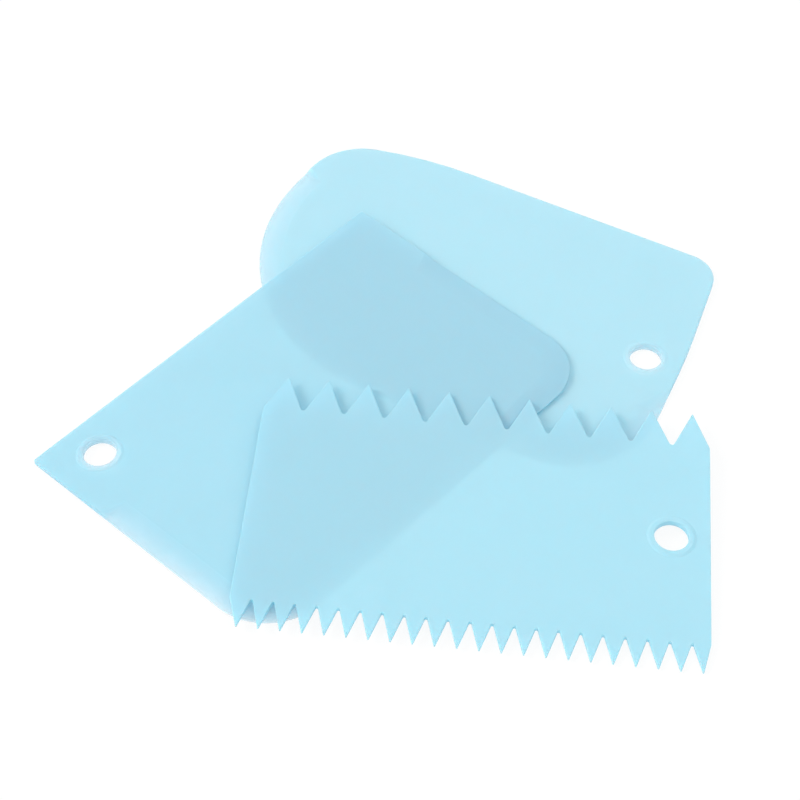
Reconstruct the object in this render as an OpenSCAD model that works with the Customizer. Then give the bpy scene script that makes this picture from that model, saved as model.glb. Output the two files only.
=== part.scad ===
// Set of three cake scrapers for smoothing and combing icing, lying in a fan.
// Each scraper is drawn flat in its own frame and then laid in place. Millimetres, +Z up.
// The origin is the middle of the set's footprint, on the table.

/* [Plastic sheet] */
// Thickness of every scraper behind its blade edges
sheet_t = 1.5; // [1:0.1:2.5]
// Thickness left at a blade edge
blade_t = 0.5; // [0.3:0.1:0.9]
// Width of the bevel from full thickness down to a blade edge
bevel_w = 7; // [3:0.5:10]
// Width of the small chamfer round the top of the thick edges
edge_chamfer = 0.25; // [0.1:0.05:0.4]

/* [Hanging holes] */
// Diameter of each hanging hole
hole_d = 9; // [5:0.5:12]
// Outer diameter of the raised ring round a hole
collar_d = 13; // [12.5:0.5:16]
// Height of the raised ring above the sheet
collar_h = 0.3; // [0.1:0.1:0.6]

/* [Half-round scraper] */
// Length from its round left end to its lower right side
half_l = 139.4; // [130:0.2:160]
// Depth from its straight back to its lower edge
half_depth = 93.2; // [93:0.2:110]
// How far the right side swings out below the back's right end
half_flare = 9.6; // [4:0.2:14]
// Radius of the big curve at its lower left
half_sweep_r = 59.5; // [40:0.5:60]
// Radius of its lower right corner
half_corner_r = 27; // [15:1:28]
// Hole centre, right of the back's right end and down from the back
half_hole = [-4.3, 45.1];

/* [Straight scraper] */
// Length of its thick handle edge
straight_l = 129.4; // [110:0.2:150]
// Depth from the handle edge to the left blade corner
straight_left_depth = 88.8; // [80:0.2:100]
// Depth from the handle edge to the right blade corner
straight_right_depth = 90.8; // [80:0.2:100]
// How far each side leans in over the depth
straight_lean = 1.8; // [0:0.1:6]
// Radius of its left blade corner
straight_left_r = 19; // [10:1:30]
// Radius of its right blade corner
straight_right_r = 16; // [10:1:30]
// Depth of the thick strip along the handle edge
straight_strip = 26; // [20:1:40]
// Hole centre, from the left end of the handle edge and down from that edge
straight_hole = [13.7, 11.65];

/* [Comb scraper] */
// Length of its body
comb_l = 121.5; // [100:0.5:140]
// Height over the points of both rows of teeth, before their points are rounded
comb_h = 81; // [60:0.5:100]
// How far the left side leans in towards the small teeth
comb_lean = 1.35; // [0:0.05:2]
// Number of large teeth
large_teeth = 11; // [5:1:14]
// Depth of the large teeth before their points and roots are rounded
large_depth = 12.7; // [8:0.1:16]
// Distance of the first and last large points from the left and right sides
large_ends = [5.4, 4.6];
// Number of small teeth
small_teeth = 22; // [10:1:28]
// Depth of the small teeth before their points and roots are rounded
small_depth = 8.8; // [5:0.1:12]
// Distance of the last small point from the right side
small_end = 1.8; // [1.4:0.1:2.6]
// Thickness left at the points of the teeth
tooth_t = 0.9; // [0.5:0.1:1.4]
// Distance of the hole's centre from the right side, and how far it lies below the middle
comb_hole = [10.05, 1.25];

/* [How they lie] */
// Place of the right end of the half-round scraper's back, then its turn
half_at = [98.06, 43.63, -29.08];
// Place of the middle of the straight scraper's handle edge, then its turn
straight_at = [-52.51, 16.98, 47.65];
// Direction in which the straight scraper rises to lie over the half-round one
straight_uphill = 48.7; // [46:0.1:50]
// Distance over which it rises to the half-round scraper's edge
straight_climb = 77.1; // [70:0.1:77.2]
// Place of the middle of the comb scraper, then its turn
comb_at = [22.58, -50.37, -6.28];
// Air left between a scraper and the one it rests on
rest_gap = 0.1; // [0.05:0.01:0.3]
// Air left under the lowest corner of a tilted scraper
table_gap = 0.02; // [0:0.01:0.1]

/* [Hidden] */
$fn = 96;
half_blue = [0.72, 0.91, 0.97];
straight_blue = [0.66, 0.87, 0.96];
comb_blue = [0.60, 0.84, 0.94];
arc_step = 4; // degrees of turn to each chord of a rounded corner
past = 1; // how far a cutter runs past the surface that it opens

// An outline is a list of corners, anticlockwise. A corner of a bevelled outline is
// [x, y, radius, inset of the top edge, height of the rim], and a radius of 0 is a plain point.
thick = [edge_chamfer, sheet_t - edge_chamfer];
bevelled = [bevel_w, blade_t];

function unit(v) = v / norm(v);
function inward(v) = [-v.y, v.x];
function spun(v, a) = [v.x * cos(a) - v.y * sin(a), v.x * sin(a) + v.y * cos(a)];
function wrap(list, i) = list[(i + len(list)) % len(list)];
function corner(x, y, r, edge) = [x, y, r, edge[0], edge[1]];
function between(a, b, part, edge) =
    corner(a.x + (b.x - a.x) * part, a.y + (b.y - a.y) * part, 0, edge);

// Direction of the edge that leaves corner i, and how far the outline turns at corner i
function heading(c, i) = unit([wrap(c, i + 1).x - wrap(c, i).x, wrap(c, i + 1).y - wrap(c, i).y]);
function turn(c, i) =
    let (before = heading(c, i - 1), after = heading(c, i))
    atan2(cross(before, after), before * after);
function steps(c, i) = c[i][2] == 0 ? 0 : ceil(abs(turn(c, i)) / arc_step);

// Points of corner i: its own point, or the chords of its arc
function corner_points(c, i, n) =
    n == 0 ? [[c[i].x, c[i].y]] :
    let (
        a = turn(c, i),
        side = sign(a),
        along = heading(c, i - 1),
        out = -side * c[i][2] * inward(along),
        centre = [c[i].x, c[i].y] - along * c[i][2] * tan(abs(a) / 2) - out
    )
    [for (k = [0:n]) centre + spun(out, a * k / n)];
function outline(c, counts) = [for (i = [0:len(c) - 1]) each corner_points(c, i, counts[i])];
function all_steps(c) = [for (i = [0:len(c) - 1]) steps(c, i)];

// The corners of the top edge, each moved in by its own inset
function inset_corner(c, i) =
    let (a = inward(heading(c, i - 1)), b = inward(heading(c, i)), in = (a + b) / (1 + a * b))
    [
        c[i].x + in.x * c[i][3],
        c[i].y + in.y * c[i][3],
        c[i][2] == 0 ? 0 : max(c[i][2] - c[i][3], edge_chamfer)
    ];

// A flat sheet with a square lower edge and a chamfer or a wide bevel round its top
module bevelled_sheet(c) {
    counts = all_steps(c);
    top = [for (i = [0:len(c) - 1]) inset_corner(c, i)];
    rim_z = [for (i = [0:len(c) - 1]) each [for (k = [0:counts[i]]) c[i][4]]];
    low = outline(c, counts);
    high = outline(top, counts);
    n = len(low);
    points = [
        for (p = low) [p.x, p.y, 0],
        for (i = [0:n - 1]) [low[i].x, low[i].y, rim_z[i]],
        for (p = high) [p.x, p.y, sheet_t]
    ];
    sides = [
        for (ring = [0, n], i = [0:n - 1])
            let (a = ring + i, b = ring + (i + 1) % n)
            each [[a, a + n, b + n], [a, b + n, b]]
    ];
    polyhedron(
        points = points,
        faces = [[for (i = [0:n - 1]) i], [for (i = [n - 1:-1:0]) 2 * n + i], each sides]
    );
}

// Adds the raised ring round a hanging hole to a sheet, and bores the hole
module with_hole(at) {
    difference() {
        union() {
            children();
            translate([at.x, at.y, sheet_t / 2]) {
                cylinder(d = collar_d, h = sheet_t / 2 + collar_h / 2);
                cylinder(d1 = collar_d, d2 = collar_d - collar_h, h = sheet_t / 2 + collar_h);
            }
        }
        translate([at.x, at.y, -past])
            cylinder(d = hole_d, h = sheet_t + collar_h + 2 * past);
    }
}

// Lays a flat scraper down: turned, then tilted so that it rises in one direction
module lay(at, lift, tilt) {
    translate([at.x, at.y, lift])
        rotate(tilt[1])
            rotate([0, -tilt[0], 0])
                rotate(at[2] - tilt[1])
                    children();
}
// Where the same move takes a point of the flat scraper
function laid(p, at, lift, tilt) =
    let (
        q = spun(p, at[2] - tilt[1]),
        r = [q.x * cos(tilt[0]) - p.z * sin(tilt[0]), q.y],
        level = spun(r, tilt[1])
    )
    [at.x + level.x, at.y + level.y, lift + q.x * sin(tilt[0]) + p.z * cos(tilt[0])];

// Half-round scraper, from the right end of its straight back
half_left = half_flare - half_l;
half_bend = [half_left + 30.4, 0]; // where the back starts to curve down to the left
half_shoulder = [half_left + 2.7, -7.4]; // where the left end turns down
half_left_bend = [half_left, -27.2]; // where the left end straightens
half_lower_right = [half_flare, -half_depth];
half_right_bend = [half_flare - 4, -38]; // where the right side straightens
half_corners = [
    corner(0, 0, 9.7, thick),
    corner(half_bend.x, half_bend.y, 122, thick),
    corner(half_shoulder.x, half_shoulder.y, 18.5, thick),
    between(half_shoulder, half_left_bend, 0.74, thick),
    between(half_shoulder, half_left_bend, 0.89, bevelled),
    corner(half_left_bend.x, half_left_bend.y, 40, bevelled),
    corner(half_left - 2, -half_depth, half_sweep_r, bevelled),
    corner(half_lower_right.x, half_lower_right.y, half_corner_r, bevelled),
    between(half_lower_right, half_right_bend, 0.565, bevelled),
    between(half_lower_right, half_right_bend, 0.745, thick),
    corner(half_right_bend.x, half_right_bend.y, 200, thick),
];

module half_round_scraper() {
    color(half_blue)
        lay(half_at, 0, [0, 0])
            with_hole([half_hole.x, -half_hole.y])
                bevelled_sheet(half_corners);
}

// Straight scraper, from the middle of its handle edge
straight_a = [-straight_l / 2, 0];
straight_b = [straight_l / 2, 0];
straight_c = [straight_l / 2 - straight_lean, -straight_right_depth];
straight_d = [-straight_l / 2 + straight_lean, -straight_left_depth];
strip_part = straight_strip / straight_left_depth;
run_out = 0.035; // part of a side over which the bevel opens
straight_corners = [
    corner(straight_a.x, straight_a.y, 0.9, thick),
    between(straight_a, straight_d, strip_part, thick),
    between(straight_a, straight_d, strip_part + run_out, bevelled),
    corner(straight_d.x, straight_d.y, straight_left_r, bevelled),
    corner(straight_c.x, straight_c.y, straight_right_r, bevelled),
    between(straight_b, straight_c, strip_part + run_out, bevelled),
    between(straight_b, straight_c, strip_part, thick),
    corner(straight_b.x, straight_b.y, 0.9, thick),
];

// Its low left side lies on the table, and it rises over the half-round scraper's top edge
straight_rise = asin((sheet_t + rest_gap - table_gap) / (straight_climb + bevel_w));
straight_tilt = [straight_rise, straight_uphill];
straight_lift = table_gap - min([
    for (p = [straight_a, straight_d]) laid([p.x, p.y, 0], straight_at, 0, straight_tilt).z
]);

module straight_scraper() {
    color(straight_blue)
        lay(straight_at, straight_lift, straight_tilt)
            with_hole([straight_hole.x - straight_l / 2, -straight_hole.y])
                bevelled_sheet(straight_corners);
}

// Comb scraper, from the middle of its body
tip_r = 0.2;
small_root_r = 0.35;
large_root_r = 0.7;
shoulder_r = 0.8;
small_tip_y = -comb_h / 2;
large_tip_y = comb_h / 2;
small_pitch = (comb_l - comb_lean - small_end - 0.1) / (small_teeth - 0.5);
large_pitch = (comb_l - large_ends[0] - large_ends[1]) / (large_teeth - 1);
small_first_x = comb_l / 2 - small_end - (small_teeth - 1) * small_pitch;
large_first_x = large_ends[0] - comb_l / 2;
small_shoulder_y = small_tip_y + small_depth - 0.5;
large_shoulder_y = large_tip_y - large_depth + 0.9;
small_bevel = small_depth + 4; // height of the taper above the small points
large_bevel = large_depth + 4.5; // height of the taper below the large points

small_row = [
    for (i = [0:small_teeth - 1]) each [
        [small_first_x + i * small_pitch, small_tip_y, tip_r],
        if (i < small_teeth - 1)
            [small_first_x + (i + 0.5) * small_pitch, small_tip_y + small_depth, small_root_r]
    ]
];
large_row = [
    for (i = [large_teeth - 1:-1:0]) each [
        [large_first_x + i * large_pitch, large_tip_y, tip_r],
        if (i > 0)
            [large_first_x + (i - 0.5) * large_pitch, large_tip_y - large_depth, large_root_r]
    ]
];
comb_corners = [
    [-comb_l / 2, large_shoulder_y, shoulder_r],
    [-comb_l / 2 + comb_lean, small_shoulder_y, shoulder_r],
    each small_row,
    [comb_l / 2, small_shoulder_y, shoulder_r],
    [comb_l / 2, large_shoulder_y, shoulder_r],
    each large_row,
];
comb_arc_step = 30; // the teeth are small, so few chords draw their points and roots
comb_counts = [for (i = [0:len(comb_corners) - 1]) ceil(abs(turn(comb_corners, i)) / comb_arc_step)];

// Thins the sheet evenly from full thickness to tooth_t over a row of teeth
module taper(height) {
    drop = atan((sheet_t - tooth_t) / height);
    translate([0, -comb_h / 2 + height, sheet_t])
        rotate([drop, 0, 0])
            translate([-comb_l, -comb_h, 0])
                cube([2 * comb_l, comb_h, sheet_t + past]);
}

// It rests along the top edge of the straight scraper's lower bevel and on its own last point
comb_rest = [
    for (i = [3, 4])
        let (p = inset_corner(straight_corners, i))
        laid([p.x, p.y, sheet_t + rest_gap], straight_at, straight_lift, straight_tilt)
];
comb_point = laid([comb_l / 2, small_tip_y, 0], comb_at, table_gap, [0, 0]);
comb_up = unit(cross(comb_point - comb_rest[0], comb_rest[1] - comb_rest[0]));
comb_tilt = [acos(comb_up.z), atan2(-comb_up.y, -comb_up.x)];
comb_lift = comb_point.z
    + (comb_up.x * (comb_point.x - comb_at.x) + comb_up.y * (comb_point.y - comb_at.y)) / comb_up.z;

module comb_scraper() {
    color(comb_blue)
        lay(comb_at, comb_lift, comb_tilt)
            with_hole([comb_l / 2 - comb_hole.x, -comb_hole.y])
                difference() {
                    linear_extrude(sheet_t) polygon(outline(comb_corners, comb_counts));
                    taper(small_bevel);
                    mirror([0, 1, 0]) taper(large_bevel);
                }
}

half_round_scraper();
straight_scraper();
comb_scraper();
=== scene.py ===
import logging
import math
from collections.abc import Mapping, Sequence
from dataclasses import dataclass
from enum import Enum

import bmesh
import bpy
from mathutils import Matrix, Vector


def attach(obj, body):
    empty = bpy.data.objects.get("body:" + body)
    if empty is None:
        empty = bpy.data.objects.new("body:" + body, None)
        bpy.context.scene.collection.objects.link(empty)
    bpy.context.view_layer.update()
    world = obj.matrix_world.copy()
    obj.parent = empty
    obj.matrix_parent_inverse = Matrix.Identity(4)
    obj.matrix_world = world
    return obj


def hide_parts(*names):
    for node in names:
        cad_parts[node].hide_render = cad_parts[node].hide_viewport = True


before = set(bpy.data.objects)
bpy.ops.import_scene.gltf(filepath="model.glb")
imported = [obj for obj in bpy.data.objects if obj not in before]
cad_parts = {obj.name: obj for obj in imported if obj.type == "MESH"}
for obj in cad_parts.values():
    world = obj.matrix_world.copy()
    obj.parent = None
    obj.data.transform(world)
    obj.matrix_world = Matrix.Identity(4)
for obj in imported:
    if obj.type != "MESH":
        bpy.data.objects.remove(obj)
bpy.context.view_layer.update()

log = logging.getLogger("icing_smoother")

MM = 0.001
CM = 0.01
SHEET = 1.5  # thickness of every scraper behind its blade edges, in millimetres
THICKNESS = "sheet_thickness"  # vertex attribute: how thick the sheet looks, in parts of SHEET; at some rims and round the bores it is set away from the real thickness as painted light
ROUND = 96  # sides of a drawn circle
CRISP_TURN = math.radians(25)  # edges that turn more than this are rounded
STRIP_SIDES = 6  # a face made by rounding is shaded flat if it has more sides than this


# Shader maths


class Wire:
    """An output socket of a shader tree on which Python's operators work."""

    def __init__(self, graph: "Graph", socket: bpy.types.NodeSocket) -> None:
        """Keeps the graph and the socket."""
        self.graph = graph
        self.socket = socket

    def _math(self, operation: str, first: object, second: object) -> "Wire":
        """Adds one Math node.

        Args:
            operation: The node's operation.
            first: Its first value or wire.
            second: Its second value or wire.

        Returns:
            The node's result.
        """
        return self.graph.add(
            "ShaderNodeMath", {"operation": operation}, {0: first, 1: second}
        )

    def __add__(self, other: object) -> "Wire":
        """self + other."""
        return self._math("ADD", self, other)

    def __radd__(self, other: object) -> "Wire":
        """other + self."""
        return self._math("ADD", other, self)

    def __sub__(self, other: object) -> "Wire":
        """self - other."""
        return self._math("SUBTRACT", self, other)

    def __rsub__(self, other: object) -> "Wire":
        """other - self."""
        return self._math("SUBTRACT", other, self)

    def __mul__(self, other: object) -> "Wire":
        """self * other."""
        return self._math("MULTIPLY", self, other)

    def __rmul__(self, other: object) -> "Wire":
        """other * self."""
        return self._math("MULTIPLY", other, self)

    def __pow__(self, other: object) -> "Wire":
        """self ** other."""
        return self._math("POWER", self, other)

    def __rpow__(self, other: object) -> "Wire":
        """other ** self."""
        return self._math("POWER", other, self)


class Graph:
    """A material's or a world's node tree, filled through one method."""

    def __init__(self, owner: bpy.types.Material | bpy.types.World) -> None:
        """Empties the owner's tree and keeps it.

        Args:
            owner: The material or the world.
        """
        owner.use_nodes = True
        self.tree = owner.node_tree
        self.tree.nodes.clear()

    def add(
        self,
        kind: str,
        settings: Mapping[str, object] | None = None,
        sockets: Mapping[str | int, object] | None = None,
        out: str | int = 0,
    ) -> Wire:
        """Adds a node, sets it up and joins its inputs.

        Args:
            kind: The node's type.
            settings: Its properties, set before its sockets.
            sockets: A value or a wire for each input, by name or number.
            out: The output that is wanted.

        Returns:
            The wanted output.
        """
        node = self.tree.nodes.new(kind)
        for name, value in (settings or {}).items():
            setattr(node, name, value)
        for key, value in (sockets or {}).items():
            if isinstance(value, Wire):
                self.tree.links.new(value.socket, node.inputs[key])
            else:
                node.inputs[key].default_value = value
        return Wire(self, node.outputs[out] if node.outputs else None)

    def blend(self, part: Wire, first: object, second: object) -> Wire:
        """Mixes two colours.

        Args:
            part: How much of the second colour shows.
            first: The colour at 0.
            second: The colour at 1.

        Returns:
            The mixed colour.
        """
        return self.add(
            "ShaderNodeMix", {"data_type": "RGBA"}, {0: part, 6: first, 7: second}, out=2
        )


def colour(red: float, green: float, blue: float) -> tuple[float, float, float, float]:
    """A colour that is given in screen values, as the linear values a shader takes.

    Args:
        red: Red, 0 to 255.
        green: Green, 0 to 255.
        blue: Blue, 0 to 255.

    Returns:
        The linear colour, with full opacity.
    """
    linear = []
    for value in (red / 255, green / 255, blue / 255):
        linear.append(value / 12.92 if value <= 0.04045 else ((value + 0.055) / 1.055) ** 2.4)
    return (linear[0], linear[1], linear[2], 1.0)


# Finishes


class Swirl(Enum):
    """How finely a noise is broken and how swirled it is, as the sockets of its node."""

    EVEN = {"Detail": 2.0}
    SWIRLED = {"Detail": 3.0, "Distortion": 1.5}


@dataclass(frozen=True)
class IcePlastic:
    """Satin, see-through moulded plastic, paler where the sheet runs thin or is given a thin look
    as painted light.
    """

    name: str
    body: tuple[float, float, float, float]
    pale: tuple[float, float, float, float]
    through: tuple[float, float, float, float] = (0.575, 0.88, 1.0, 1.0)
    cover: float = 0.66  # how much one face of the full sheet hides
    thin_power: float = 0.85  # how fast that falls where the sheet runs thin
    glow: float = 0.7  # part of the light that scatters inside the sheet
    milk: float = 0.15  # part of the light that a face passes on scattered
    scatter: tuple[float, float, float] = (0.45, 0.8, 0.8)  # millimetres, by colour
    ior: float = 1.49
    roughness: float = 0.36
    cloud_size: float = 28.0  # millimetres
    cloud_tint: float = 0.10  # how far the clouds take the tint towards the pale one
    flow_size: float = 6.0  # millimetres
    flow_tint: float = 0.03  # how far the flow marks change that
    flow_satin: float = 0.12  # how far they change the roughness
    flow_relief: float = 2.0  # how high they stand beside the grain
    grain_size: float = 0.35  # millimetres
    grain_satin: float = 0.10  # how far the grain changes the roughness
    relief_height: float = 0.02  # millimetres
    relief_strength: float = 0.25

    def noise(self, graph: Graph, place: Wire, size: float, swirl: Swirl) -> Wire:
        """Noise that fills the piece.

        Args:
            graph: The material's tree.
            place: Where on the piece.
            size: How large its spots are, in millimetres.
            swirl: How finely broken and how swirled it is.

        Returns:
            Values about 0.5.
        """
        sockets = {"Vector": place, "Scale": 1 / (size * MM)}
        sockets.update(swirl.value)
        return graph.add("ShaderNodeTexNoise", {"noise_dimensions": "3D"}, sockets)

    def material(self) -> bpy.types.Material:
        """The plastic as a material.

        Returns:
            The finished material.
        """
        made = bpy.data.materials.new(self.name)
        graph = Graph(made)
        place = graph.add("ShaderNodeTexCoord", out="Object")
        # The look read here is the sheet's thickness, and on some rims and round the bores painted
        # light.
        thin = graph.add("ShaderNodeAttribute", {"attribute_name": THICKNESS}, out="Fac")
        clouds = self.noise(graph, place, self.cloud_size, Swirl.EVEN)
        grain = self.noise(graph, place, self.grain_size, Swirl.EVEN)
        flow = self.noise(graph, place, self.flow_size, Swirl.SWIRLED)
        depth = thin**self.thin_power
        mottle = (clouds - 0.5) * self.cloud_tint + (flow - 0.5) * self.flow_tint
        full = depth * (1 - self.cloud_tint / 2 - mottle)
        hides = 1 - (1 - self.cover) ** depth
        satin = (grain - 0.5) * self.grain_satin + (flow - 0.5) * self.flow_satin
        relief = graph.add(
            "ShaderNodeBump",
            {},
            {
                "Strength": self.relief_strength,
                "Distance": self.relief_height * MM,
                "Height": grain + flow * self.flow_relief,
            },
        )
        skin = graph.add(
            "ShaderNodeBsdfPrincipled",
            {},
            {
                "Base Color": graph.blend(full, self.pale, self.body),
                "Roughness": satin + self.roughness,
                "Normal": relief,
                "IOR": self.ior,
                "Subsurface Weight": self.glow,
                "Subsurface Radius": self.scatter,
                "Subsurface Scale": MM,
            },
        )
        pale, body = (
            graph.add("ShaderNodeBsdfTranslucent", {}, {"Color": shade, "Normal": relief})
            for shade in (self.pale, self.body)
        )
        lit_through = graph.add("ShaderNodeMixShader", {}, {0: full, 1: pale, 2: body})
        skin = graph.add("ShaderNodeMixShader", {}, {0: self.milk, 1: skin, 2: lit_through})
        clear = graph.add("ShaderNodeBsdfTransparent", {}, {"Color": (1, 1, 1, 1)})
        tinted = graph.add("ShaderNodeBsdfTransparent", {}, {"Color": self.through})
        seen = graph.add("ShaderNodeMixShader", {}, {0: depth, 1: clear, 2: tinted})
        sheet = graph.add("ShaderNodeMixShader", {}, {0: hides, 1: seen, 2: skin})
        graph.add("ShaderNodeOutputMaterial", {}, {"Surface": sheet})
        return made


class Blue(Enum):
    """The tint of each scraper's plastic, and the pale tint of all where they run thin."""

    HALF_ROUND = (201, 235, 242)
    STRAIGHT = (191, 230, 239)
    COMB = (196, 235, 243)
    PALE = (224, 236, 244)


# Outlines


@dataclass(frozen=True)
class RimShape:
    """How an outline's edge ends."""

    inset: float  # how far in the level upper face starts, in millimetres
    height: float  # millimetres
    look: float  # how thick the sheet looks there, as a part of SHEET; on some rims it is set away from the real thickness as painted light


class Rim(Enum):
    """The rims that the scrapers have."""

    # The thick edge looks thinner than it is: painted light, paler on its side walls where they
    # lie in shade.
    THICK = RimShape(inset=0.25, height=SHEET - 0.25, look=0.6)
    BEVELLED = RimShape(inset=7.0, height=0.5, look=0.333)
    # A thin bevel that looks nearly full thickness: its own lit colour is painted over the shade
    # that falls under it.
    BEVEL_PAINTED_OVER_SHADE = RimShape(inset=7.0, height=0.5, look=0.9)
    # A bevel that looks thinner than the others: painted light, clearer and paler where the comb's
    # teeth shade it.
    BEVEL_PAINTED_LIGHT = RimShape(inset=7.0, height=0.5, look=0.17)


def inward(along: Vector) -> Vector:
    """The direction to the left of another, which is into an anticlockwise outline."""
    return Vector((-along.y, along.x))


@dataclass(frozen=True)
class Corner:
    """A corner of an outline. A radius of 0 leaves a plain point."""

    x: float
    y: float
    radius: float
    rim: Rim = Rim.THICK

    @property
    def at(self) -> Vector:
        """The corner's place in the flat."""
        return Vector((self.x, self.y))


def between(start: Corner, end: Corner, part: float, rim: Rim) -> Corner:
    """A plain point on the edge from one corner to another.

    Args:
        start: Where the edge starts.
        end: Where it ends.
        part: How far along it the point lies, from 0 to 1.
        rim: How the outline's edge ends there.

    Returns:
        The point.
    """
    at = start.at.lerp(end.at, part)
    return Corner(at.x, at.y, 0, rim)


@dataclass(frozen=True)
class Outline:
    """A closed anticlockwise outline of corners, each rounded by its radius."""

    corners: tuple[Corner, ...]
    chord_turn: float  # degrees of turn to each chord of a rounded corner

    def heading(self, index: int, points: Sequence[Vector]) -> Vector:
        """Direction of the edge that leaves a corner.

        Args:
            index: The corner.
            points: The places of all corners.

        Returns:
            A unit vector.
        """
        count = len(points)
        return (points[(index + 1) % count] - points[index % count]).normalized()

    def turn(self, index: int, points: Sequence[Vector]) -> float:
        """How far the outline turns left at a corner, in radians.

        Args:
            index: The corner.
            points: The places of all corners.

        Returns:
            The turn, below 0 where it turns right.
        """
        before = self.heading(index - 1, points)
        after = self.heading(index, points)
        return math.atan2(before.cross(after), before.dot(after))

    def draw(self, mesh: bmesh.types.BMesh, height: float, moved_in: bool) -> "Ring":
        """Draws the outline, each round corner spun from one vertex.

        Args:
            mesh: Where it is drawn.
            height: How high above the sheet's lower face.
            moved_in: Whether each corner is moved in by its rim's inset.

        Returns:
            The ring.
        """
        plain = [corner.at for corner in self.corners]
        points = list(plain)
        if moved_in:
            for index, corner in enumerate(self.corners):
                before = inward(self.heading(index - 1, plain))
                after = inward(self.heading(index, plain))
                aside = (before + after) / (1 + before.dot(after))
                points[index] = corner.at + aside * corner.rim.value.inset
        ring = Ring([], [], [])
        for index, corner in enumerate(self.corners):
            chords = 0
            if corner.radius:
                step = math.radians(self.chord_turn)
                # A hair less, so that a turn of whole chords isn't given one more.
                chords = math.ceil(abs(self.turn(index, plain)) / step - 1e-6)
            radius = corner.radius
            if moved_in:
                radius = max(radius - corner.rim.value.inset, Rim.THICK.value.inset)
            ring.spin_corner(mesh, self, index, points, radius, chords, height)
            ring.rims.extend([corner.rim] * (chords + 1))
        ring.close(mesh)
        return ring


@dataclass
class Ring:
    """A closed chain of vertices and edges."""

    verts: list[bmesh.types.BMVert]
    edges: list[bmesh.types.BMEdge]
    rims: list[Rim]  # how an outline's edge ends at each vertex

    def spin_corner(
        self,
        mesh: bmesh.types.BMesh,
        outline: Outline,
        index: int,
        points: Sequence[Vector],
        radius: float,
        chords: int,
        height: float,
    ) -> None:
        """Adds a corner's chain of vertices.

        Args:
            mesh: Where it is drawn.
            outline: The outline.
            index: The corner.
            points: The places of all corners.
            radius: The corner's radius.
            chords: How many chords draw it, or 0 for a plain point.
            height: How high it lies.
        """
        turn = outline.turn(index, points)
        along = outline.heading(index - 1, points)
        at = points[index]
        if chords:
            out = inward(along) * math.copysign(radius, -turn)
            centre = at - along * radius * math.tan(abs(turn) / 2) - out
            at = centre + out
        first = mesh.verts.new((at.x, at.y, height))
        self.verts.append(first)
        if not chords:
            return
        mesh.verts.index_update()
        made = bmesh.ops.spin(
            mesh,
            geom=[first],
            cent=(centre.x, centre.y, height),
            axis=(0, 0, 1),
            dvec=(0, 0, 0),
            angle=turn,
            steps=chords,
            use_duplicate=False,
            use_merge=False,
        )
        last = made["geom_last"][0]
        step, came = first, None
        while step is not last:
            edge = next(e for e in step.link_edges if e is not came)
            step, came = edge.other_vert(step), edge
            self.verts.append(step)
            self.edges.append(edge)

    def close(self, mesh: bmesh.types.BMesh) -> None:
        """Joins the corners' chains by straight edges.

        Args:
            mesh: Where the ring is drawn.
        """
        joined = []
        for index, vert in enumerate(self.verts):
            after = self.verts[(index + 1) % len(self.verts)]
            edge = mesh.edges.get((vert, after)) or mesh.edges.new((vert, after))
            joined.append(edge)
        self.edges = joined


def circle(mesh: bmesh.types.BMesh, at: Vector, radius: float, height: float) -> Ring:
    """Draws a level circle.

    Args:
        mesh: Where it is drawn.
        at: Its centre in the flat.
        radius: Its radius.
        height: How high it lies.

    Returns:
        The ring.
    """
    made = bmesh.ops.create_circle(
        mesh,
        cap_ends=False,
        segments=ROUND,
        radius=radius,
        matrix=Matrix.Translation((at.x, at.y, height)),
    )
    edges = list({edge for vert in made["verts"] for edge in vert.link_edges})
    return Ring(made["verts"], edges, [])


def carried_on(
    mesh: bmesh.types.BMesh, ring: Ring, at: Vector, growth: float, rise: float
) -> Ring:
    """Extrudes a ring into a band of smooth faces.

    Args:
        mesh: Where it lies.
        ring: The ring.
        at: The centre from which it grows or shrinks, in the flat.
        growth: How many times wider the new ring is.
        rise: How much higher it lies.

    Returns:
        The new ring.
    """
    made = bmesh.ops.extrude_edge_only(mesh, edges=ring.edges)["geom"]
    verts = [item for item in made if isinstance(item, bmesh.types.BMVert)]
    edges = [item for item in made if isinstance(item, bmesh.types.BMEdge)]
    for item in made:
        if isinstance(item, bmesh.types.BMFace):
            item.smooth = True
    own = set(verts)
    edges = [edge for edge in edges if edge.verts[0] in own and edge.verts[1] in own]
    about = Matrix.Translation((-at.x, -at.y, 0))
    bmesh.ops.scale(mesh, vec=(growth, growth, 1), space=about, verts=verts)
    bmesh.ops.translate(mesh, vec=(0, 0, rise), verts=verts)
    return Ring(verts, edges, [])


def bridge(mesh: bmesh.types.BMesh, lower: Ring, upper: Ring) -> None:
    """Joins two rings by a band of smooth faces.

    Args:
        mesh: Where they lie.
        lower: One ring.
        upper: The other.
    """
    made = bmesh.ops.bridge_loops(mesh, edges=lower.edges + upper.edges)
    for face in made["faces"]:
        face.smooth = True


def soften(mesh: bmesh.types.BMesh, edges: Sequence[bmesh.types.BMEdge], size: float) -> None:
    """Rounds edges a little, as a mould does.

    Args:
        mesh: Where they lie.
        edges: The edges.
        size: How far from each edge the rounding starts, in millimetres.
    """
    made = bmesh.ops.bevel(
        mesh,
        geom=list(edges),
        offset=size,
        offset_type="OFFSET",
        segments=3,
        profile=0.5,
        affect="EDGES",
        clamp_overlap=True,
        material=-1,
    )
    for face in made["faces"]:
        face.smooth = len(face.verts) <= STRIP_SIDES


# Parts of a scraper


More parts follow.
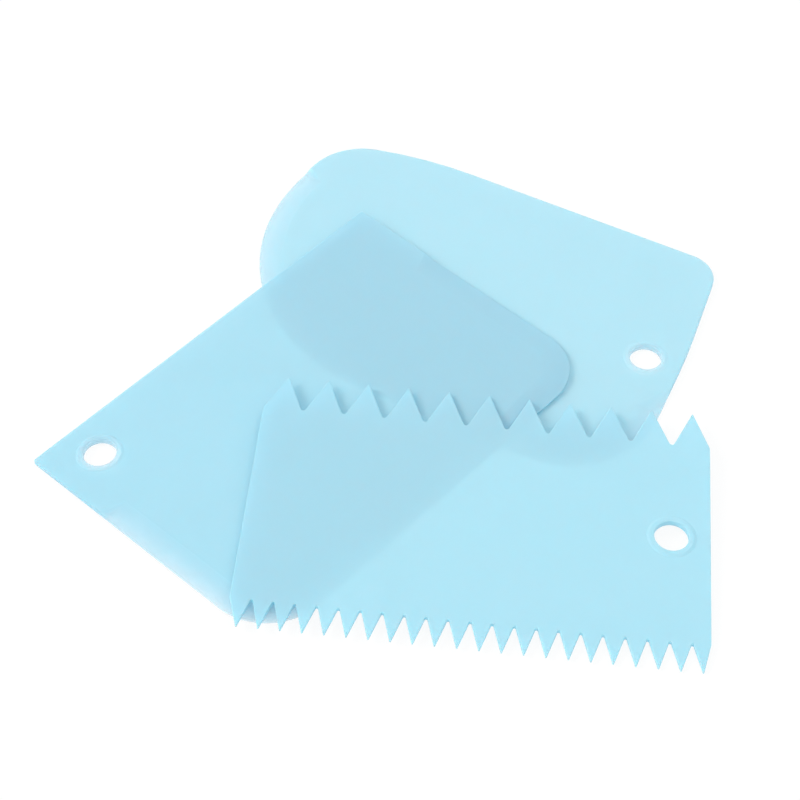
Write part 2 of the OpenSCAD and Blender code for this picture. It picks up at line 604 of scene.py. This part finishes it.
@dataclass(frozen=True)
class HangingHole:
    """A round hole with a low raised ring on the upper face. Millimetres."""

    x: float
    y: float
    bore: float = 9.0
    collar: float = 13.0
    rise: float = 0.3
    edge: float = 0.22
    slope: float = 0.6  # how far the ring's outer wall leans in
    lip: float = 0.3  # how thick the sheet looks at the bore's wall, as a part of SHEET: painted light, the full-thickness wall given a thin, pale look that lightens the shade in the bore
    crest_look: float = 0.8  # the same at the crest of the ring
    fade: float = 2.2  # width over which the lower face round the bore gets its full look again, fading that painted light out
    level: float = 0.999  # height of a level face's unit normal, at the least

    def cut(self, mesh: bmesh.types.BMesh) -> None:
        """Opens the hole through the two largest level faces.

        Args:
            mesh: A closed sheet whose level faces are whole.
        """
        mesh.normal_update()
        level = [face for face in mesh.faces if abs(face.normal.z) > self.level]
        upper = max(level, key=lambda face: face.calc_area() * (face.normal.z > 0))
        lower = max(level, key=lambda face: face.calc_area() * (face.normal.z < 0))
        around = (list(upper.edges), list(lower.edges))
        bmesh.ops.delete(mesh, geom=[upper, lower], context="FACES_ONLY")
        at = Vector((self.x, self.y))
        foot = circle(mesh, at, self.collar / 2, SHEET)
        top = self.collar - 2 * self.slope
        crest = carried_on(mesh, foot, at, top / self.collar, self.rise)
        mouth = carried_on(mesh, crest, at, self.bore / top, 0)
        flat = list({face for edge in mouth.edges for face in edge.link_faces})
        base = carried_on(mesh, mouth, at, 1.0, -SHEET - self.rise)
        under = carried_on(mesh, base, at, 1 + 2 * self.fade / self.bore, 0)
        flat += list({face for edge in under.edges for face in edge.link_faces})
        layer = mesh.verts.layers.float[THICKNESS]
        # The bore's wall looks thin: painted light that lightens the shade inside the bore.
        looks = (
            (foot, 1.0),
            (crest, self.crest_look),
            (mouth, self.lip),
            (base, self.lip),
            (under, 1.0),
        )
        for ring, part in looks:
            for vert in ring.verts:
                vert[layer] = part
        for edges, ring in ((around[0], foot), (around[1], under)):
            made = bmesh.ops.triangle_fill(
                mesh, use_beauty=True, use_dissolve=False, edges=edges + ring.edges
            )
            flat += [item for item in made["geom"] if isinstance(item, bmesh.types.BMFace)]
        for face in flat:
            face.smooth = False
        bmesh.ops.recalc_face_normals(mesh, faces=mesh.faces)
        soften(mesh, crest.edges + mouth.edges, self.edge)


@dataclass(frozen=True)
class Placement:
    """How a flat scraper is laid down: turned, then tilted to rise in one direction.

    Millimetres and degrees.
    """

    x: float
    y: float
    turn: float
    lift: float = 0.0
    tilt: float = 0.0
    uphill: float = 0.0

    def matrix(self) -> Matrix:
        """From the flat scraper's millimetres to its place, in metres.

        Returns:
            The transform.
        """
        move = Matrix.Translation(Vector((self.x, self.y, self.lift)) * MM)
        aim = Matrix.Rotation(math.radians(self.uphill), 4, "Z")
        rise = Matrix.Rotation(math.radians(-self.tilt), 4, "Y")
        spin = Matrix.Rotation(math.radians(self.turn - self.uphill), 4, "Z")
        return move @ aim @ rise @ spin @ Matrix.Scale(MM, 4)


def bevelled_sheet(outline: Outline, hole: HangingHole, soft: float) -> bmesh.types.BMesh:
    """A flat sheet with a small chamfer or a wide bevel round its top, and a hanging hole.

    Args:
        outline: Its outline.
        hole: Its hole.
        soft: How far its edges are rounded.

    Returns:
        The closed sheet.
    """
    mesh = bmesh.new()
    layer = mesh.verts.layers.float.new(THICKNESS)
    inner = outline.draw(mesh, 0, moved_in=True)
    lower = outline.draw(mesh, 0, moved_in=False)
    rim = outline.draw(mesh, 0, moved_in=False)
    upper = outline.draw(mesh, SHEET, moved_in=True)
    for ring in (inner, upper):
        for vert in ring.verts:
            vert[layer] = 1.0
    for low, high, kind in zip(lower.verts, rim.verts, rim.rims):
        high.co.z = kind.value.height
        low[layer] = kind.value.look
        high[layer] = kind.value.look
    bridge(mesh, inner, lower)
    bridge(mesh, lower, rim)
    bridge(mesh, rim, upper)
    for ring in (inner, upper):
        bmesh.ops.contextual_create(mesh, geom=ring.edges)
    bmesh.ops.recalc_face_normals(mesh, faces=mesh.faces)
    crisp = [edge for edge in upper.edges if edge.calc_face_angle(0) > CRISP_TURN]
    soften(mesh, lower.edges + rim.edges + crisp, soft)
    hole.cut(mesh)
    return mesh


# Scrapers


@dataclass
class Scraper:
    """One loose scraper: how its mesh is dressed and where it lies."""

    node: str
    body: str
    slot: str
    placement: Placement
    finish: IcePlastic
    hole: HangingHole
    soft: float = 0.18
    weld: float = 0.002  # vertices that are closer than this become one, in millimetres

    def shape(self) -> bmesh.types.BMesh:
        """The flat scraper, in millimetres. Each kind has its own."""
        raise NotImplementedError

    def build(self) -> bpy.types.Object:
        """Makes the scraper, lays it down and puts it in the place of its solid.

        Returns:
            The scraper's object.
        """
        shape = self.shape()
        bmesh.ops.remove_doubles(shape, verts=shape.verts, dist=self.weld)
        layer = shape.verts.layers.float[THICKNESS]
        for vert in shape.verts:
            # Where nothing set the look, the sheet has its full thickness.
            vert[layer] = vert[layer] or 1.0
        bmesh.ops.transform(shape, matrix=self.placement.matrix(), verts=shape.verts)
        bmesh.ops.recalc_face_normals(shape, faces=shape.faces)
        data = bpy.data.meshes.new(f"{self.node}_mesh")
        shape.to_mesh(data)
        shape.free()
        data.materials.append(self.finish.material())
        piece = bpy.data.objects.new(f"{self.node}_moulding", data)
        bpy.context.scene.collection.objects.link(piece)
        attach(piece, self.body)
        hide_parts(self.node)
        return piece


@dataclass
class BevelledScraper(Scraper):
    """A scraper that is a sheet with a bevel along its blade edges."""

    def outline(self) -> Outline:
        """Its outline. Each kind has its own."""
        raise NotImplementedError

    def shape(self) -> bmesh.types.BMesh:
        """The flat scraper."""
        return bevelled_sheet(self.outline(), self.hole, self.soft)


@dataclass
class HalfRoundScraper(BevelledScraper):
    """The lowest scraper: a straight back and a thin bevelled curve. Millimetres."""

    length: float = 139.4
    depth: float = 93.2
    flare: float = 9.6  # how far the curve reaches past the right end of the back
    sweep_radius: float = 59.5
    corner_radius: float = 27.0
    back_radius: float = 9.7
    crown: tuple[float, float] = (30.4, 122.0)  # from the left end; radius
    shoulder: tuple[float, float, float] = (2.7, 7.4, 18.5)  # from the left end; down; radius
    left_bend: tuple[float, float] = (27.2, 40.0)  # down; radius
    sweep_out: float = 2.0  # how far left of the left end the curve's corner lies
    right_bend: tuple[float, float, float] = (4.0, 38.0, 200.0)  # in; down; radius
    left_run_out: tuple[float, float] = (0.74, 0.89)  # where the bevel starts and is full
    right_run_out: tuple[float, float] = (0.565, 0.745)  # where it is full last and ends

    def outline(self) -> Outline:
        """Its outline, from the right end of its straight back.

        Returns:
            The outline.
        """
        left = self.flare - self.length
        shoulder_in, shoulder_down, shoulder_radius = self.shoulder
        bend_in, bend_down, bend_radius = self.right_bend
        shoulder = Corner(left + shoulder_in, -shoulder_down, shoulder_radius)
        left_bend = Corner(left, -self.left_bend[0], self.left_bend[1], Rim.BEVELLED)
        lower_right = Corner(self.flare, -self.depth, self.corner_radius, Rim.BEVELLED)
        right_bend = Corner(self.flare - bend_in, -bend_down, bend_radius)
        corners = (
            Corner(0, 0, self.back_radius),
            Corner(left + self.crown[0], 0, self.crown[1]),
            shoulder,
            between(shoulder, left_bend, self.left_run_out[0], Rim.THICK),
            between(shoulder, left_bend, self.left_run_out[1], Rim.BEVELLED),
            left_bend,
            Corner(left - self.sweep_out, -self.depth, self.sweep_radius, Rim.BEVELLED),
            lower_right,
            between(lower_right, right_bend, self.right_run_out[0], Rim.BEVELLED),
            between(lower_right, right_bend, self.right_run_out[1], Rim.THICK),
            right_bend,
        )
        return Outline(corners, chord_turn=4)


@dataclass
class StraightScraper(BevelledScraper):
    """The middle scraper: a thick handle edge and three thin edges. Millimetres."""

    length: float = 129.4
    left_depth: float = 88.8
    right_depth: float = 90.8
    lean: float = 1.8  # how far each side leans in
    left_radius: float = 19.0
    right_radius: float = 16.0
    handle_radius: float = 0.9
    strip: float = 26.0  # length of thick edge down the left side, the same part of the right
    run_out: float = 0.035  # part of each side over which the bevel then starts

    def outline(self) -> Outline:
        """Its outline, from the middle of its handle edge.

        Returns:
            The outline.
        """
        end = self.length / 2
        part = self.strip / self.left_depth
        first = Corner(-end, 0, self.handle_radius)
        last = Corner(end, 0, self.handle_radius)
        # Painted light at two bevels: the lower left one looks thinner where the comb's teeth
        # shade it, and the right one looks nearly full thickness, its lit colour painted over the
        # shade under it.
        left = Corner(self.lean - end, -self.left_depth, self.left_radius, Rim.BEVEL_PAINTED_LIGHT)
        right = Corner(end - self.lean, -self.right_depth, self.right_radius, Rim.BEVEL_PAINTED_OVER_SHADE)
        corners = (
            first,
            between(first, left, part, Rim.THICK),
            between(first, left, part + self.run_out, Rim.BEVELLED),
            left,
            right,
            between(last, right, part + self.run_out, Rim.BEVEL_PAINTED_OVER_SHADE),
            between(last, right, part, Rim.THICK),
            last,
        )
        return Outline(corners, chord_turn=2)


@dataclass(frozen=True)
class TeethRow:
    """A row of pointed teeth. Millimetres."""

    count: int
    pitch: float
    first_x: float
    depth: float
    root_radius: float
    shoulder_drop: float
    taper: float  # height over which the sheet thins to the points
    tip_radius: float = 0.2

    def corners(self, tip_y: float) -> list[Corner]:
        """Points and roots from left to right.

        Args:
            tip_y: Height of the points; the roots lie towards the middle.

        Returns:
            The corners.
        """
        root_y = tip_y - math.copysign(self.depth, tip_y)
        row = []
        for index in range(self.count):
            x = self.first_x + index * self.pitch
            row.append(Corner(x, tip_y, self.tip_radius))
            if index < self.count - 1:
                row.append(Corner(x + self.pitch / 2, root_y, self.root_radius))
        return row


@dataclass
class CombScraper(Scraper):
    """The top scraper: large teeth on one long edge and small ones on the other."""

    length: float = 121.5
    height: float = 81.0
    lean: float = 1.35  # how far the left side leans in
    side_radius: float = 0.8
    point: float = 0.9  # thickness left at the points of the teeth
    bend: float = 4.0  # how far to each side the shading of a crease fades
    level: float = 0.99  # height of a level face's unit normal, at the least
    rounded: float = 0.98  # height of a rounded edge's, at the most
    large: TeethRow = TeethRow(
        count=11,
        pitch=11.15,
        first_x=-55.35,
        depth=12.7,
        root_radius=0.7,
        shoulder_drop=0.9,
        taper=17.2,
    )
    small: TeethRow = TeethRow(
        count=22,
        pitch=5.5,
        first_x=-56.55,
        depth=8.8,
        root_radius=0.35,
        shoulder_drop=0.5,
        taper=12.8,
    )

    def outline(self) -> Outline:
        """Its outline, from the middle of its body.

        Returns:
            The outline.
        """
        side = self.length / 2
        top = self.height / 2
        large_y = top - self.large.depth + self.large.shoulder_drop
        small_y = self.small.depth - self.small.shoulder_drop - top
        corners = (
            Corner(-side, large_y, self.side_radius),
            Corner(self.lean - side, small_y, self.side_radius),
            *self.small.corners(-top),
            Corner(side, small_y, self.side_radius),
            Corner(side, large_y, self.side_radius),
            *reversed(self.large.corners(top)),
        )
        return Outline(corners, chord_turn=15)

    def shape(self) -> bmesh.types.BMesh:
        """The flat scraper, thinned towards the points of its teeth.

        Returns:
            The closed sheet.
        """
        mesh = bmesh.new()
        mesh.verts.layers.float.new(THICKNESS)
        lower = self.outline().draw(mesh, 0, moved_in=False)
        upper = self.outline().draw(mesh, SHEET, moved_in=False)
        bridge(mesh, lower, upper)
        for ring in (lower, upper):
            bmesh.ops.contextual_create(mesh, geom=ring.edges)
        bmesh.ops.recalc_face_normals(mesh, faces=mesh.faces)
        soften(mesh, lower.edges + upper.edges, self.soft)
        for row, side in ((self.large, 1), (self.small, -1)):
            self.thin(mesh, row, side)
        layer = mesh.verts.layers.float[THICKNESS]
        for vert in mesh.verts:
            vert[layer] = min(self.thickness_at(vert.co.y), SHEET) / SHEET
        self.fade(mesh)
        self.hole.cut(mesh)
        return mesh

    def thickness_at(self, y: float) -> float:
        """Thickness of the sheet across its depth.

        Args:
            y: The place across, from the middle.

        Returns:
            The thickness.
        """
        row = self.large if y > 0 else self.small
        past = abs(y) - (self.height / 2 - row.taper)
        return SHEET - max(past, 0) / row.taper * (SHEET - self.point)

    def thin(self, mesh: bmesh.types.BMesh, row: TeethRow, side: int) -> None:
        """Creases the sheet above a row of teeth and lowers the row's upper face.

        Args:
            mesh: The flat sheet.
            row: The row of teeth.
            side: 1 for the row at the top, -1 for the one at the bottom.
        """
        crease = self.height / 2 - row.taper
        for past in (-self.bend, 0.0, self.bend):
            bmesh.ops.bisect_plane(
                mesh,
                geom=mesh.verts[:] + mesh.edges[:] + mesh.faces[:],
                dist=1e-5,
                plane_co=(0, side * (crease + past), 0),
                plane_no=(0, side, 0),
            )
        for vert in mesh.verts:
            if side * vert.co.y > crease and vert.co.z > SHEET / 2:
                vert.co.z -= SHEET - self.thickness_at(vert.co.y)

    def fade(self, mesh: bmesh.types.BMesh) -> None:
        """Shades the upper face as one smooth skin that ends at the rounded edges.

        Args:
            mesh: The thinned sheet, still without its hole.
        """
        mesh.normal_update()
        for face in mesh.faces:
            if abs(face.normal.z) > self.level:
                face.smooth = face.normal.z > 0
        for edge in mesh.edges:
            tilts = [face.normal.z for face in edge.link_faces]
            if max(tilts) > self.level and min(tilts) < self.rounded:
                edge.smooth = False


# Studio


@dataclass(frozen=True)
class SoftLamp:
    """A square soft lamp that looks at the middle of the set. Metres, degrees and watts."""

    name: str
    azimuth: float  # 0 towards +X and 90 towards +Y
    elevation: float
    distance: float
    size: float
    power: float

    def build(self) -> None:
        """Hangs the lamp."""
        data = bpy.data.lights.new(self.name, "AREA")
        data.shape = "SQUARE"
        data.size = self.size
        data.energy = self.power
        lamp = bpy.data.objects.new(self.name, data)
        flat = math.radians(self.azimuth)
        up = math.radians(self.elevation)
        away = Vector((math.cos(flat) * math.cos(up), math.sin(flat) * math.cos(up), math.sin(up)))
        lamp.location = away * self.distance
        lamp.rotation_euler = away.to_track_quat("Z", "Y").to_euler()
        lamp.visible_glossy = False  # keeps its own reflection out of the plastic
        bpy.context.scene.collection.objects.link(lamp)


@dataclass(frozen=True)
class Studio:
    """A white table, soft light from the left and the camera. Metres and degrees."""

    target: tuple[float, float, float] = (0.002738, -0.008199, 0.0)
    elevation: float = 49.3
    distance: float = 0.4643
    lens: float = 75.0  # millimetres
    sensor: float = 36.0  # millimetres
    table_size: float = 3.0  # from the middle of the table to its sides
    table_drop: float = 0.0001  # how far under the set the table lies
    ground: float = 0.10  # part of the light on the table that shows the shadow
    shadow_reach: float = 0.6  # how far from the middle that part has faded out
    fade_width: float = 0.4  # width over which it fades
    sky: float = 0.66  # strength of the room's light on the set
    lamps: tuple[SoftLamp, ...] = (
        SoftLamp("left_lamp", azimuth=173, elevation=36, distance=3, size=1.2, power=56),
        SoftLamp("front_lamp", azimuth=-95, elevation=30, distance=3, size=1.6, power=10),
        SoftLamp("back_lamp", azimuth=50, elevation=45, distance=3, size=1.6, power=22),
    )

    def build(self) -> None:
        """Lays the table, hangs the lamps and sets up the camera."""
        self.lay_table()
        self.light_room()
        for lamp in self.lamps:
            lamp.build()
        self.aim_camera()
        bpy.context.scene.view_settings.view_transform = "Standard"

    def seen(self, graph: Graph) -> Wire:
        """1 for what the camera sees, straight or in a gloss, and 0 for other light.

        Args:
            graph: The tree that it is for.

        Returns:
            The mask.
        """
        camera = graph.add("ShaderNodeLightPath", out="Is Camera Ray")
        glossy = graph.add("ShaderNodeLightPath", out="Is Glossy Ray")
        through = graph.add("ShaderNodeLightPath", out="Is Transmission Ray")
        total = camera + glossy + through
        return graph.add("ShaderNodeClamp", {}, {"Value": total})

    def lay_table(self) -> None:
        """Lays the white table top."""
        mesh = bmesh.new()
        low = Matrix.Translation((0, 0, -self.table_drop))
        bmesh.ops.create_grid(mesh, x_segments=2, y_segments=2, size=self.table_size, matrix=low)
        data = bpy.data.meshes.new("table_top")
        mesh.to_mesh(data)
        mesh.free()
        table = bpy.data.objects.new("table_top", data)
        bpy.context.scene.collection.objects.link(table)
        white = bpy.data.materials.new("white_table")
        graph = Graph(white)
        paint = graph.add(
            "ShaderNodeBsdfPrincipled",
            {},
            {"Base Color": (0.95, 0.95, 0.95, 1), "Roughness": 0.9, "Specular IOR Level": 0.0},
        )
        bright = graph.add("ShaderNodeEmission", {}, {"Color": (1, 1, 1, 1), "Strength": 1.0})
        place = graph.add("ShaderNodeTexCoord", out="Object")
        away = graph.add("ShaderNodeVectorMath", {"operation": "LENGTH"}, {0: place}, "Value")
        reached = self.shadow_reach / self.fade_width - away * (1 / self.fade_width)
        near = graph.add("ShaderNodeClamp", {}, {"Value": reached})
        part = self.seen(graph) * (1 - near * self.ground)
        both = graph.add("ShaderNodeMixShader", {}, {0: part, 1: paint, 2: bright})
        graph.add("ShaderNodeOutputMaterial", {}, {"Surface": both})
        data.materials.append(white)

    def light_room(self) -> None:
        """Fills the room with even white light."""
        world = bpy.data.worlds.new("white_room")
        bpy.context.scene.world = world
        graph = Graph(world)
        light = graph.add(
            "ShaderNodeBackground",
            {},
            {"Color": (1, 1, 1, 1), "Strength": self.seen(graph) * (1 - self.sky) + self.sky},
        )
        graph.add("ShaderNodeOutputWorld", {}, {"Surface": light})

    def aim_camera(self) -> None:
        """Sets up the camera in front of the set, looking down at it."""
        data = bpy.data.cameras.new("camera")
        data.lens = self.lens
        data.sensor_width = self.sensor
        camera = bpy.data.objects.new("camera", data)
        up = math.radians(self.elevation)
        away = Vector((0, -math.cos(up), math.sin(up)))
        camera.location = Vector(self.target) + away * self.distance
        camera.rotation_euler = (math.radians(90 - self.elevation), 0, 0)
        bpy.context.scene.collection.objects.link(camera)
        bpy.context.scene.camera = camera


def report(piece: bpy.types.Object) -> None:
    """Logs how many faces and open edges a piece has, and its volume.

    Args:
        piece: The piece.
    """
    mesh = bmesh.new()
    mesh.from_mesh(piece.data)
    open_edges = sum(1 for edge in mesh.edges if not edge.is_manifold)
    volume = mesh.calc_volume(signed=True) / CM**3
    log.info(
        "%s: %d faces, %d open edges, %.2f cubic centimetres",
        piece.name,
        len(mesh.faces),
        open_edges,
        volume,
    )
    mesh.free()


def main() -> None:
    """Builds the three scrapers and the studio."""
    logging.basicConfig(level=logging.INFO, format="%(name)s: %(message)s")
    pale = colour(*Blue.PALE.value)
    scrapers = (
        HalfRoundScraper(
            "half_round_scraper",
            "half_round",
            "half_round_plastic",
            Placement(x=98.06, y=43.63, turn=-29.08),
            IcePlastic("half_round_plastic_look", colour(*Blue.HALF_ROUND.value), pale=pale),
            HangingHole(x=-4.3, y=-45.1, slope=1.0),
        ),
        StraightScraper(
            "straight_scraper",
            "straight",
            "straight_plastic",
            Placement(
                x=-52.51, y=16.98, turn=47.65, lift=1.23533, tilt=1.07649, uphill=48.7
            ),
            IcePlastic("straight_plastic_look", colour(*Blue.STRAIGHT.value), pale=pale),
            HangingHole(x=-51.0, y=-11.65),
        ),
        CombScraper(
            "comb_scraper",
            "comb",
            "comb_plastic",
            Placement(
                x=22.58, y=-50.37, turn=-6.28, lift=2.25481, tilt=2.11204, uphill=106.127
            ),
            IcePlastic(
                "comb_plastic_look", colour(*Blue.COMB.value), pale=pale, thin_power=0.05
            ),
            HangingHole(x=50.7, y=-1.25, slope=0.8),
        ),
    )
    for scraper in scrapers:
        report(scraper.build())
    Studio().build()


if __name__ == "__main__":
    main()
